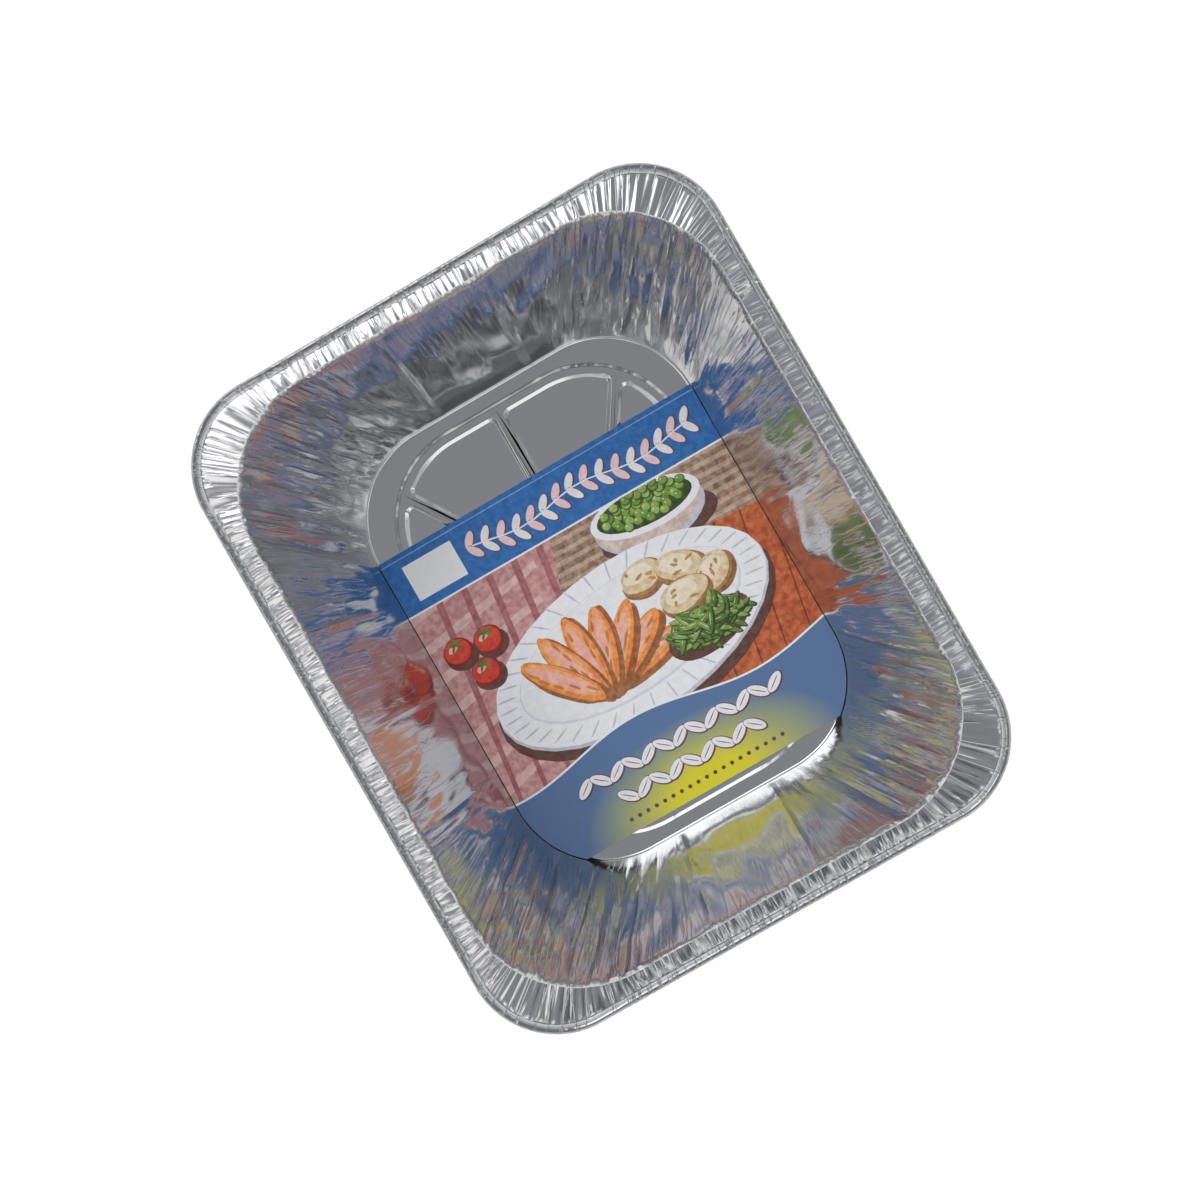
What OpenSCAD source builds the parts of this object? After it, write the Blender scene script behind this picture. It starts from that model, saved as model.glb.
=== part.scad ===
// Extra deep foil roasting pan with a loose printed card on its floor.
// The pan is one sheet of foil, pressed into folds, ribs and a pleated flange with a rolled edge.
// Length runs along Y, width along X, and the pan stands on z = 0.

/* [Pan] */
// Length over the rolled rim
pan_length = 324; // [300:1:380]
// Width over the rolled rim
pan_width = 263.6; // [245:0.1:320]
// Height from the table to the top of the rim
pan_height = 106.4; // [60:0.1:140]
// Thickness of the foil
foil = 0.14; // [0.08:0.01:0.3]

/* [Rim] */
// Corner radius over the rolled rim
rim_corner = 41; // [30:1:55]
// Diameter of the rolled edge
bead_d = 3.2; // [2:0.1:4]
// Width of the gutter between the rolled edge and the pleats
gutter_w = 1.4; // [0.8:0.1:2.5]
// Width of the pleated flange along the sides
flange_w = 7.2; // [5:0.1:12]
// Fall of the flange towards its outer edge
flange_fall = 1.5; // [0.5:0.1:2.5]
// Corner radius of the lip inside the flange
lip_corner = 54; // [40:1:62]
// Height of the pleats
pleat_h = 0.9; // [0.2:0.1:1.4]
// Spacing of the pleats
pleat_pitch = 4.4; // [4:0.1:9]

/* [Walls] */
// Length of the flat floor
floor_length = 247; // [220:1:258]
// Width of the flat floor
floor_width = 185.4; // [160:0.1:200]
// Corner radius of the floor
floor_corner = 50; // [40:1:58]
// Radius between floor and walls
base_fillet = 1.6; // [1:0.1:6]
// Width of an upright wall rib
rib_w = 5; // [3:0.5:9]
// How far a wall rib stands into the pan
rib_rise = 1.4; // [0.5:0.1:3]
// Spacing of the three ribs on a long wall
long_rib_gap = 51; // [35:1:58]
// Distance between the two ribs on an end wall
end_rib_gap = 53; // [30:1:60]
// Depth of the folds round the corners
fold_depth = 1.5; // [0.3:0.1:2.5]
// Depth of the faint waves in the walls between the ribs
wave_depth = 0.25; // [0.1:0.05:0.6]

/* [Floor pattern] */
// Width of the flat border along the long walls
border_side = 10.5; // [8:0.5:16]
// Width of the flat border along the end walls
border_end = 5.8; // [5:0.2:14]
// Height of the ribs pressed up in the floor
floor_rib_h = 1.4; // [0.6:0.1:2.5]
// Width of the flat top of a floor rib
floor_rib_top = 3.2; // [2:0.1:6]
// Width of the sloped side of a floor rib
floor_rib_slope = 2.3; // [1.5:0.1:4]
// Corner radius of the rib that runs round the floor
ring_corner = 54; // [45:1:60]
// Radius in the corners of the panels
panel_corner = 5; // [4.5:0.5:7]

/* [Card] */
// Distance from the middle of the pan to the straight upper edge of the card
card_top = 74.4; // [50:0.1:100]
// Distance from the middle of the pan to the lower edge of the card
card_bottom = 113; // [90:0.1:118]
// Gap between the card and the foot of the wall beside it
card_gap = 1; // [0.5:0.1:6]
// Thickness of the card
card_thick = 0.4; // [0.25:0.05:1]

/* [Hidden] */
// Clearance between flat faces that lie on each other
face_clear = 0.03;
// Steps in a quarter circle: rolled edge, walls and floor pattern
BEAD_TURN = 10;
WALL_TURN = 18;
RING_TURN = 12;
// Places of the wall rings, as shares of the wall between fillet and lip
WALL_LEVELS = [0.12, 0.42, 0.76, 1];
// Directions round the rolled edge at which the foil has a ring, 90 being the top
BEAD_ANGLES = [150, 90, 45, 0, -60, -120];
// Width and height of the rounded lip between flange and wall
lip_w = 1.1;
lip_h = 1.6;

// An outline is [half length, half width, corner radius] and lies in the middle of the foil
function inset(o, d) = [o[0] - d, o[1] - d, o[2] - d];
function blend(p, q, t) = p + (q - p) * t;
bead_r = (bead_d - foil) / 2;
rim_line = inset([pan_length / 2, pan_width / 2, rim_corner], foil / 2);
pleat_outer = inset(rim_line, bead_d + gutter_w);
gutter_line = inset(rim_line, bead_d + gutter_w / 2);
lip_line = concat([for (i = [0, 1]) pleat_outer[i] - flange_w], lip_corner);
wall_top = inset(lip_line, lip_w);
floor_line = [floor_length / 2, floor_width / 2, floor_corner];

// Heights in the middle of the foil: border and panels lie on the table, ribs stand above them
floor_z = foil / 2;
rib_z = floor_z + floor_rib_h;
lip_z = pan_height - foil / 2 - pleat_h / 2;
wall_top_z = lip_z - lip_h;
pleat_outer_z = lip_z - flange_fall;
bead_z = pan_height - foil / 2 - bead_r;

// Lean of the end walls, which the fillet at their foot turns through
lean = atan2(wall_top_z - floor_z, wall_top[0] - floor_line[0] - base_fillet / 2);
function fillet_line(a) = inset(floor_line, -base_fillet * sin(a));
function fillet_z(a) = floor_z + base_fillet * (1 - cos(a));

// Repeatable scatter between -1 and 1
function scatter(i) = 2 * abs(sin(i * 127.1 + 31.7) * 4375.85 % 1) - 1;

// A station is [zone, value] on the quarter of an outline from mid long side to mid end:
// 0 and 4 are places on the long side and the end in mm from their middle,
// 2 is a share of the corner, and 1 and 3 are shares of the stretch from the last rib to it.
long_fixed = long_rib_gap + rib_w / 2;
end_fixed = end_rib_gap / 2 + rib_w / 2;
function spot(o, s) =
    let (run_y = o[0] - o[2], run_x = o[1] - o[2], turn = 90 * s[1])
    s[0] == 0 ? [o[1], s[1], 1, 0] :
    s[0] == 1 ? [o[1], blend(long_fixed, run_y, s[1]), 1, 0] :
    s[0] == 2 ? [run_x + o[2] * cos(turn), run_y + o[2] * sin(turn), cos(turn), sin(turn)] :
    s[0] == 3 ? [blend(run_x, end_fixed, s[1]), o[0], 0, 1] :
    [s[1], o[0], 0, 1];
// How far along its quarter a point of the outline lies, from 0 to 3
function way(o, p) =
    let (run_y = o[0] - o[2], run_x = o[1] - o[2])
    p[1] <= run_y ? p[1] / run_y :
    p[0] <= run_x ? 3 - p[0] / run_x :
    1 + atan2(p[1] - run_y, p[0] - run_x) / 90;

// Stations all round, as [quarter, station]
function around(quarter) =
    let (n = len(quarter) - 1)
    [for (q = [0:3]) for (i = [0:n - 1]) [q, quarter[q % 2 == 0 ? i : n - i]]];
function mirrored(q, p) =
    let (sx = q == 1 || q == 2 ? -1 : 1, sy = q > 1 ? -1 : 1)
    [sx * p[0], sy * p[1], sx * p[2], sy * p[3]];

// Where a line from p along u leaves outline o
function corner_mid(o, p) = [sign(p[0]) * (o[1] - o[2]), sign(p[1]) * (o[0] - o[2])];
function in_corner(o, p) = abs(p[0]) > o[1] - o[2] && abs(p[1]) > o[0] - o[2];
function leave(o, p, u) =
    let (tx = abs(u[0]) < 0.001 ? 10000 : (sign(u[0]) * o[1] - p[0]) / u[0],
         ty = abs(u[1]) < 0.001 ? 10000 : (sign(u[1]) * o[0] - p[1]) / u[1],
         q = p + min(tx, ty) * u, c = corner_mid(o, q), k = (c - p) * u)
    in_corner(o, q) ? p + (k + sqrt(k * k - (c - p) * (c - p) + o[2] * o[2])) * u : q;

// Even stations: steps on half a long side, round the corner and on half an end
function even_loop(o, side, turn, end) = around(concat(
    [for (i = [0:side - 1]) [0, (o[0] - o[2]) * i / side]],
    [for (i = [0:turn]) [2, i / turn]],
    [for (i = [end - 1:-1:0]) [4, (o[1] - o[2]) * i / end]]));
function bead_loop(o) = even_loop(o, 4, BEAD_TURN, 3);
function ring_loop(o) = even_loop(o, 2, RING_TURN, 2);
pleat_loop = even_loop(lip_line,
    2 * round((lip_line[0] - lip_line[2]) / pleat_pitch),
    2 * round(PI / 2 * (lip_line[2] + flange_w / 2) / pleat_pitch),
    2 * round((lip_line[1] - lip_line[2]) / pleat_pitch));

// Wall stations, three of them on each rib
half_rib = rib_w / 2;
wall_loop = around(concat(
    [[0, 0], [0, half_rib]],
    [for (t = [0.25, 0.5, 0.75]) [0, blend(half_rib, long_rib_gap - half_rib, t)]],
    [[0, long_rib_gap - half_rib], [0, long_rib_gap], [0, long_fixed], [1, 0.5]],
    [for (i = [0:WALL_TURN]) [2, i / WALL_TURN]],
    [[3, 0.5], [4, end_fixed], [4, end_rib_gap / 2], [4, end_rib_gap / 2 - half_rib], [4, 0]]));

// A ring is [points, directions of the foil's upper side, ways from 0 to 12].
// Its stations are set out on base and carried square to that onto outline o.
function ring(o, loop, z, tilt, push = 0, lift = 0, base = undef) =
    let (at = [for (s = loop)
             let (b = is_undef(base) ? spot(o, s[1]) : spot(base, s[1]), u = [b[2], b[3]])
             is_undef(base) ? b : concat(leave(o, [b[0], b[1]], u), u)])
    [[for (i = [0:len(at) - 1])
         let (p = mirrored(loop[i][0], at[i]),
              d = is_list(push) ? push[i] : push, h = is_list(lift) ? lift[i] : lift)
         [p[0] + d * p[2], p[1] + d * p[3], z + h]],
     [for (i = [0:len(at) - 1])
         let (p = mirrored(loop[i][0], at[i]))
         [-p[2] * sin(tilt), -p[3] * sin(tilt), cos(tilt)]],
     [for (i = [0:len(at) - 1])
         let (w = way(o, at[i]))
         [w, 6 - w, 6 + w, 12 - w][loop[i][0]]]];

// Upright ribs stand into the pan, and folds turn in and out from one station to the next
function near(a, b) = max(0, 1 - abs(a - b) / half_rib);
function rib_share(s) =
    s[0] == 0 ? max(near(s[1], 0), near(s[1], long_rib_gap)) :
    s[0] == 4 ? near(s[1], end_rib_gap / 2) :
    0;
function fold_size(s, i) = s[0] == 2 ? fold_depth * (0.65 + 0.35 * scatter(i)) : wave_depth;
function wall_push(v) =
    [for (i = [0:len(wall_loop) - 1])
        let (s = wall_loop[i][1], turn = i % 2 == 0 ? 0.5 : -0.5, rib_end = v == 1 ? 0.5 : 1)
        min(1, v / WALL_LEVELS[1]) * turn * fold_size(s, i) - rib_end * rib_rise * rib_share(s)];
function wall_ring(v) =
    let (o = blend(fillet_line(lean), wall_top, v))
    ring(o, wall_loop, blend(fillet_z(lean), wall_top_z, v), lean, wall_push(v));

// Pleats turn up and down from one station to the next
pleat_lift =
    [for (i = [0:len(pleat_loop) - 1]) (i % 2 == 0 ? 0.5 : -0.5) * pleat_h * (0.75 + 0.25 * scatter(i))];
function pleat_ring(o, z, tilt, share) = ring(o, pleat_loop, z, tilt, 0, share * pleat_lift, lip_line);

// The rolled edge goes over the top, down outside and back under
function bead_ring(a) =
    let (o = inset(rim_line, bead_r * (1 - cos(a))))
    ring(o, bead_loop(o), bead_z + bead_r * sin(a), a - 90);

// All rings, from the rib round the floor out to the end of the rolled edge
ring_line = [floor_line[0] - border_end, floor_line[1] - border_side, ring_corner];
ring_crest = inset(ring_line, floor_rib_slope);
RINGS = concat(
    [ring(ring_crest, ring_loop(ring_crest), rib_z, 0),
     ring(ring_line, ring_loop(ring_line), floor_z, 0),
     ring(floor_line, wall_loop, floor_z, 0),
     ring(fillet_line(lean / 2), wall_loop, fillet_z(lean / 2), lean / 2),
     ring(fillet_line(lean), wall_loop, fillet_z(lean), lean)],
    [for (v = WALL_LEVELS) wall_ring(v)],
    [pleat_ring(lip_line, lip_z, 30, 1),
     pleat_ring(pleat_outer, pleat_outer_z, -12, 0.6),
     ring(gutter_line, bead_loop(gutter_line), pleat_outer_z - 0.2, 20)],
    [for (a = BEAD_ANGLES) bead_ring(a)]);

// Upper side of the foil is 1 and its lower side -1
function skin(r, side) = [for (i = [0:len(r[0]) - 1]) r[0][i] + side * foil / 2 * r[1][i]];

// Triangles between two closed rows of points, a inside b, that start level with each other
function zip(a, wa, b, wb, full) =
    let (n = len(a), m = len(b), xa = concat(wa, full), xb = concat(wb, full),
         a_goes = function (s) s[0] < n && (s[1] == m || xa[s[0] + 1] <= xb[s[1] + 1]))
    [for (s = [0, 0]; s[0] + s[1] < n + m; s = a_goes(s) ? [s[0] + 1, s[1]] : [s[0], s[1] + 1])
        a_goes(s) ?
            [a[s[0]], a[(s[0] + 1) % n], b[s[1] % m]] :
            [a[s[0] % n], b[(s[1] + 1) % m], b[s[1]]]];

// Panels between the floor ribs: each lies between two spokes that run out from the middle
function unit(v) = v / norm(v);
function left(v) = [-v[1], v[0]];
function flat(p) = [p[0], p[1]];
function outward(o, p) =
    in_corner(o, p) ? unit(p - corner_mid(o, p)) :
    abs(p[1]) > o[0] - 0.001 ? [0, sign(p[1])] :
    [sign(p[0]), 0];
// Rounded corner at p between directions d1 and d2, as 4 points
function rounded(p, d1, d2, r) =
    let (half = acos(d1 * d2) / 2, reach = r / tan(half), sweep = 180 - 2 * half,
         c = p + unit(d1 + d2) * r / sin(half), v1 = p + d1 * reach - c, v2 = p + d2 * reach - c)
    [for (t = [0:1 / 3:1]) c + (sin((1 - t) * sweep) * v1 + sin(t * sweep) * v2) / sin(sweep)];
// Outline of a panel, k inside the line where its sloped side starts
function panel_line(crest, k) =
    let (u1 = unit(crest[0]), u2 = unit(crest[len(crest) - 1]), h = floor_rib_top / 2 + k,
         o = inset(ring_crest, floor_rib_top + k), r = panel_corner - k,
         p1 = leave(o, h * left(u1), u1), p2 = leave(o, -h * left(u2), u2),
         t1 = left(outward(o, p1)), t2 = left(outward(o, p2)),
         tip = unit(u1 + u2) * h / sin(acos(u1 * u2) / 2),
         edge = [for (p = crest) leave(o, [0, 0], unit(p))])
    concat(rounded(p1, -u1, t1, r),
           [for (p = edge) if ((p - p1) * t1 > 2 * r && (p2 - p) * t2 > 2 * r) p],
           rounded(p2, -t2, -u2, r),
           rounded(tip, u2, u1, r));
// The same points from the tip onwards, with their directions seen from c as ways
function turns(line, c) =
    let (a = [for (p = line) (atan2(p[1] - c[1], p[0] - c[0]) - atan2(-c[1], -c[0]) + 720) % 360],
         n = len(a), first = [for (i = [0:n - 1]) if (a[i] < a[(i + n - 1) % n]) i][0])
    [[for (i = [0:n - 1]) line[(first + i) % n]], [for (i = [0:n - 1]) a[(first + i) % n]]];
function at_height(line, z) = [for (p = line) [p[0], p[1], z]];
function panel_faces(crest, side) =
    let (low = panel_line(crest, floor_rib_slope), high = panel_line(crest, 0),
         c = (low[0] + low[len(low) - 5] + low[len(low) - 1]) / 3,
         l = turns(low, c), h = turns(high, c), f = turns(concat([[0, 0]], crest), c),
         z = side * foil / 2, pl = at_height(l[0], floor_z + z), ph = at_height(h[0], rib_z + z))
    concat(zip(ph, h[1], at_height(f[0], rib_z + z), f[1], 360),
           zip(pl, l[1], ph, h[1], 360),
           [for (i = [0:len(pl) - 1]) [[c[0], c[1], floor_z + z], pl[(i + 1) % len(pl)], pl[i]]]);

// Stations of the ring's crest at which the spokes end
crest_count = len(RINGS[0][0]) / 4;
spoke_ends = [for (q = [0:3]) each (q % 2 == 0 ?
    [crest_count * q + 2 + RING_TURN / 2] :
    [crest_count * q, crest_count * (q + 1) - 2 - RING_TURN / 2])];
function floor_faces(side) =
    [for (i = [0:5])
        let (from = spoke_ends[i], to = i == 5 ? spoke_ends[0] + 4 * crest_count : spoke_ends[i + 1])
        each panel_faces([for (j = [from:to]) flat(RINGS[0][0][j % (4 * crest_count)])], side)];

function skin_faces(side) =
    concat(floor_faces(side),
           [for (i = [0:len(RINGS) - 2])
               let (r = RINGS[i], s = RINGS[i + 1])
               each zip(skin(r, side), r[2], skin(s, side), s[2], 12)]);
last_ring = RINGS[len(RINGS) - 1];

module foil_pan() {
    upper = skin_faces(1);
    lower = [for (t = skin_faces(-1)) [t[0], t[2], t[1]]];
    edge = zip(skin(last_ring, 1), last_ring[2], skin(last_ring, -1), last_ring[2], 12);
    faces = concat(upper, lower, edge);
    color("silver")
        polyhedron([for (t = faces) each t], [for (i = [0:len(faces) - 1]) [3 * i, 3 * i + 1, 3 * i + 2]]);
}

// Card cut to the floor's outline, with a straight upper and lower edge.
// It lies above the floor's edge, so it reaches over the fillet, card_gap short of the foil there.
card_rise = floor_rib_h + face_clear;
card_foot = card_rise < base_fillet * (1 - cos(lean)) ?
    sqrt(card_rise * (2 * base_fillet - card_rise)) :
    base_fillet * sin(lean);
module label_card() {
    line = inset(floor_line, card_gap - card_foot);
    stations = even_loop(line, 1, 24, 1);
    color("steelblue")
        translate([0, 0, rib_z + foil / 2 + face_clear])
        linear_extrude(card_thick)
        intersection() {
            polygon([for (s = stations) let (p = mirrored(s[0], spot(line, s[1]))) flat(p)]);
            translate([-pan_width / 2, -card_bottom])
                square([pan_width, card_top + card_bottom]);
        }
}

foil_pan();
label_card();
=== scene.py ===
import math

import bpy
import numpy as np
from mathutils import Matrix, Vector
from mathutils.geometry import delaunay_2d_cdt


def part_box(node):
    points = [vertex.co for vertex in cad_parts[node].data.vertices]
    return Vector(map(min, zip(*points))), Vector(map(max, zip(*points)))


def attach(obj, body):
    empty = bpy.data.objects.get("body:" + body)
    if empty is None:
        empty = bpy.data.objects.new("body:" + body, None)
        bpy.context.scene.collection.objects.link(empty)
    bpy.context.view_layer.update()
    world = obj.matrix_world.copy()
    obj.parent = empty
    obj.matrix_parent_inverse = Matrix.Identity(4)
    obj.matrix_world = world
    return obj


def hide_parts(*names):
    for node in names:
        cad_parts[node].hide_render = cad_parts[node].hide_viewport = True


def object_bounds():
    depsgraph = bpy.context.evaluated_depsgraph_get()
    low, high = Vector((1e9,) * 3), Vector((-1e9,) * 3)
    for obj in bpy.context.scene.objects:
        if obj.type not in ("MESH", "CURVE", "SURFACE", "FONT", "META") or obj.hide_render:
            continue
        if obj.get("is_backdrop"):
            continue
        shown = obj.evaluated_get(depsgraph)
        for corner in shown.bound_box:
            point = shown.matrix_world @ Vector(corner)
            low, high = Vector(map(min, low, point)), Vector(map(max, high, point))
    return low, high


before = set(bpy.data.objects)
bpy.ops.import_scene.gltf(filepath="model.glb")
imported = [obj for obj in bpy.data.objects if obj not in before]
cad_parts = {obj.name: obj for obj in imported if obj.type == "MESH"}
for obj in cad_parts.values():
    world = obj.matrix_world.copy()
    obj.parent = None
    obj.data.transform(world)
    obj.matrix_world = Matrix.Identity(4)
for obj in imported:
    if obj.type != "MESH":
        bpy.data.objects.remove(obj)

frame_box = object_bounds()

# Foil pan: one sheet of aluminium foil, pressed between two dies. The surplus foil gathers into
# pleats on the flange and folds down the walls, the floor and walls are stiffened with ribs, and
# the edge is rolled over outwards. All lengths are in mm, and the foil's middle is what is set out.
low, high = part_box("foil_pan")
pan_width = (high.x - low.x) * 1000
pan_length = (high.y - low.y) * 1000
pan_height = high.z * 1000
foil = 0.14
rim_corner = 41
bead_d = 3.2
gutter_w = 1.4
flange_w = 7.2
flange_fall = 1.5
lip_corner = 54
lip_w = 1.1
lip_h = 1.6
pleat_h = 0.9
pleat_pitch = 3.03
floor_length = 247
floor_width = 185.4
floor_corner = 50
base_fillet = 1.6
rib_w = 5
rib_rise = 1.4
long_rib_gap = 51
end_rib_gap = 53
fold_depth = 1.5
wave_depth = 0.25
border_side = 10.5
border_end = 5.8
floor_rib_h = 1.4
floor_rib_top = 3.2
floor_rib_slope = 2.3
ring_corner = 54
panel_corner = 5
press = np.random.default_rng(11)


def inset(outline, distance):
    return [size - distance for size in outline]


def between(inner, outer, share):
    return [p + (q - p) * share for p, q in zip(inner, outer)]


# An outline is half its length, half its width and its corner radius
bead_r = (bead_d - foil) / 2
rim_line = inset([pan_length / 2, pan_width / 2, rim_corner], foil / 2)
pleat_outer = inset(rim_line, bead_d + gutter_w)
gutter_line = inset(rim_line, bead_d + gutter_w / 2)
lip_line = [pleat_outer[0] - flange_w, pleat_outer[1] - flange_w, lip_corner]
wall_top = inset(lip_line, lip_w)
floor_line = [floor_length / 2, floor_width / 2, floor_corner]
ring_line = [floor_line[0] - border_end, floor_line[1] - border_side, ring_corner]
ring_crest = inset(ring_line, floor_rib_slope)
floor_z = foil / 2
rib_z = floor_z + floor_rib_h
lip_z = pan_height - foil / 2 - pleat_h / 2
wall_top_z = lip_z - lip_h
pleat_outer_z = lip_z - flange_fall
bead_z = pan_height - foil / 2 - bead_r
lean = math.atan2(wall_top_z - floor_z, wall_top[0] - floor_line[0] - base_fillet / 2)
long_fixed = long_rib_gap + rib_w / 2
end_fixed = end_rib_gap / 2 + rib_w / 2

# Places round the pan are measured along the lip, anticlockwise from the middle of the right side
lip_side = lip_line[0] - lip_line[2]
lip_end = lip_line[1] - lip_line[2]
lip_turn = math.pi / 2 * lip_line[2]
quarter_way = lip_side + lip_turn + lip_end
lip_way = 4 * quarter_way


def quarter_of(place):
    place = np.mod(place, lip_way)
    quarter = np.minimum(place // quarter_way, 3).astype(int)
    along = place - quarter * quarter_way
    along = np.where(quarter % 2 == 1, quarter_way - along, along)
    side_x = np.where((quarter == 1) | (quarter == 2), -1, 1)
    side_y = np.where(quarter > 1, -1, 1)
    return along, side_x, side_y


# Points of an outline and the directions straight out of it, at places round the lip. Up to the
# last rib of each wall they keep their distance from its middle, so that the ribs stand upright.
def on_outline(outline, place):
    along, side_x, side_y = quarter_of(place)
    run_y = outline[0] - outline[2]
    run_x = outline[1] - outline[2]
    y = np.where(along <= long_fixed, along,
                 long_fixed + (along - long_fixed) * (run_y - long_fixed) / (lip_side - long_fixed))
    turn = (along - lip_side) / lip_turn * math.pi / 2
    x = quarter_way - along
    x = np.where(x <= end_fixed, x,
                 end_fixed + (x - end_fixed) * (run_x - end_fixed) / (lip_end - end_fixed))
    on_side = along <= lip_side
    on_end = along >= lip_side + lip_turn
    px = np.where(on_side, outline[1], np.where(on_end, x, run_x + outline[2] * np.cos(turn)))
    py = np.where(on_side, y, np.where(on_end, outline[0], run_y + outline[2] * np.sin(turn)))
    nx = np.where(on_side, 1, np.where(on_end, 0, np.cos(turn)))
    ny = np.where(on_side, 0, np.where(on_end, 1, np.sin(turn)))
    return np.stack([px * side_x, py * side_y], 1), np.stack([nx * side_x, ny * side_y], 1)


# Where lines from points in given directions leave an outline
def leave(outline, start, way):
    steep = np.where(np.abs(way) < 1e-3, 1e-3, np.abs(way))
    sign = np.where(way < 0, -1, 1)
    reach = (sign * np.array([outline[1], outline[0]]) - start) * sign / steep
    reach = np.where(np.abs(way) < 1e-3, 1e4, reach).min(1)
    end = start + reach[:, None] * way
    middle = np.array([outline[1] - outline[2], outline[0] - outline[2]])
    turned = (np.abs(end) > middle).all(1)
    centre = np.sign(end) * middle
    gap = centre - start
    k = (gap * way).sum(1)
    root = np.sqrt(np.maximum(k * k - (gap * gap).sum(1) + outline[2] ** 2, 0))
    return np.where(turned[:, None], start + (k + root)[:, None] * way, end)


# How far round each outline its points lie, from 0 to 12, so that unlike rows can be joined
def ways(outline, points):
    run_y = outline[0] - outline[2]
    run_x = outline[1] - outline[2]
    x, y = np.abs(points[:, 0]), np.abs(points[:, 1])
    turn = np.degrees(np.arctan2(np.maximum(y - run_y, 0), np.maximum(x - run_x, 1e-9)))
    way = np.where(y <= run_y, y / run_y, np.where(x <= run_x, 3 - x / run_x, 1 + turn / 90))
    right, top = points[:, 0] >= 0, points[:, 1] >= 0
    way = np.where(top, np.where(right, way, 6 - way), np.where(right, 12 - way, 6 + way))
    way[0] = 0 if way[0] > 11 else way[0]
    return way


# The sheet grows row by row. Each point also keeps its place round the lip, its way up the sheet and
# how hard the foil is worked there, which the finest creases of the finish go by.
sheet_points = []
sheet_ways = []
sheet_faces = []


def add_row(points, place=0, up=0, worked=0):
    first = sum(len(row) for row in sheet_points)
    size = len(points)
    sheet_points.append(np.asarray(points, float))
    sheet_ways.append(np.column_stack([np.broadcast_to(value, size) for value in (place, up, worked)]))
    return np.arange(first, first + size)


# Triangles between two rows with as many points, a inside b
def join(a, b):
    a2, b2 = np.roll(a, -1), np.roll(b, -1)
    sheet_faces.append(np.stack([a, b2, a2], 1))
    sheet_faces.append(np.stack([a, b, b2], 1))


# Triangles between two closed rows of unlike points, a inside b, that start level with each other
def lace(a, way_a, b, way_b, full):
    way_a = np.append(way_a, full)
    way_b = np.append(way_b, full)
    i, j, faces = 0, 0, []
    while i + j < len(a) + len(b):
        if i < len(a) and (j == len(b) or way_a[i + 1] <= way_b[j + 1]):
            faces.append((a[i], b[j % len(b)], a[(i + 1) % len(a)]))
            i += 1
        else:
            faces.append((a[i % len(a)], b[j], b[(j + 1) % len(b)]))
            j += 1
    sheet_faces.append(np.array(faces))


# How far apart two places are, the short way round the lip
def apart(off):
    return np.abs(np.mod(off + lip_way / 2, lip_way) - lip_way / 2)


# Creases lie at uneven places round the lip, and between each two of them the foil has one more point
crease_count = 2 * round(lip_way / pleat_pitch)
crease_gaps = press.uniform(0.5, 1.5, crease_count)
crease = np.concatenate([[0], np.cumsum(crease_gaps)[:-1]]) / crease_gaps.sum() * lip_way
# The creases nearest to the feet and crest of each wall rib move onto them
for quarter in range(4):
    for mark in (0, long_rib_gap, quarter_way - end_rib_gap / 2):
        crest = quarter * quarter_way + (mark if quarter % 2 == 0 else quarter_way - mark)
        for place in (crest - rib_w / 2, crest, crest + rib_w / 2):
            crease[np.argmin(apart(crease - place))] = np.mod(round(place, 6), lip_way)
crease = np.sort(crease)
fine = np.sort(np.concatenate([crease, (crease + np.append(crease[1:], lip_way)) / 2]))
up_down = np.where(np.arange(crease_count) % 2 == 0, 1.0, -1.0)


# Values at the creases, carried on to the points between them
def along_creases(values):
    full = np.append(values, values[0])
    out = np.empty(2 * crease_count)
    out[0::2] = values
    out[1::2] = (full[:-1] + full[1:]) / 2
    return out


# 1 round the corners and 0 along the straights, with a passage on either side of where they meet
corner_passage = 8


def in_corner(place):
    along = quarter_of(place)[0]
    since = along - lip_side + corner_passage
    until = lip_side + lip_turn + corner_passage - along
    return np.clip(np.minimum(since, until) / (2 * corner_passage), 0, 1)


# Broad folds that the dies press into the corners, and the faint waves between the ribs
def scatter(i):
    return 2 * abs(math.fmod(math.sin(math.radians(i * 127.1 + 31.7)) * 4375.85, 1)) - 1


half_rib = rib_w / 2
wall_turn = 18
fold_mean = 0.65
fold_spread = 0.35
quarter_marks = [0, half_rib]
quarter_marks += [half_rib + (long_rib_gap - 2 * half_rib) * t for t in (0.25, 0.5, 0.75)]
quarter_marks += [long_rib_gap - half_rib, long_rib_gap, long_fixed, (long_fixed + lip_side) / 2]
corner_first = len(quarter_marks)
quarter_marks += [lip_side + lip_turn * i / wall_turn for i in range(wall_turn + 1)]
quarter_marks += [quarter_way - x for x in ((end_fixed + lip_end) / 2, end_fixed, end_rib_gap / 2)]
quarter_marks += [quarter_way - end_rib_gap / 2 + half_rib, quarter_way]
fold_marks, fold_sizes = [], []
for quarter in range(4):
    for i in range(len(quarter_marks) - 1):
        k = i if quarter % 2 == 0 else len(quarter_marks) - 1 - i
        mark = quarter_marks[k]
        number = quarter * (len(quarter_marks) - 1) + i
        cornered = corner_first <= k <= corner_first + wall_turn
        size = fold_depth * (fold_mean + fold_spread * scatter(number)) if cornered else wave_depth
        fold_marks.append(quarter * quarter_way + (mark if quarter % 2 == 0 else quarter_way - mark))
        fold_sizes.append((0.5 if number % 2 == 0 else -0.5) * size)


def broad_folds(place):
    return np.interp(np.mod(place, lip_way), fold_marks, fold_sizes, period=lip_way)


def wall_ribs(place):
    along = quarter_of(place)[0]
    marks = (0, long_rib_gap, quarter_way - end_rib_gap / 2)
    return np.max([np.maximum(0, 1 - np.abs(along - mark) / half_rib) for mark in marks], 0)


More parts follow.
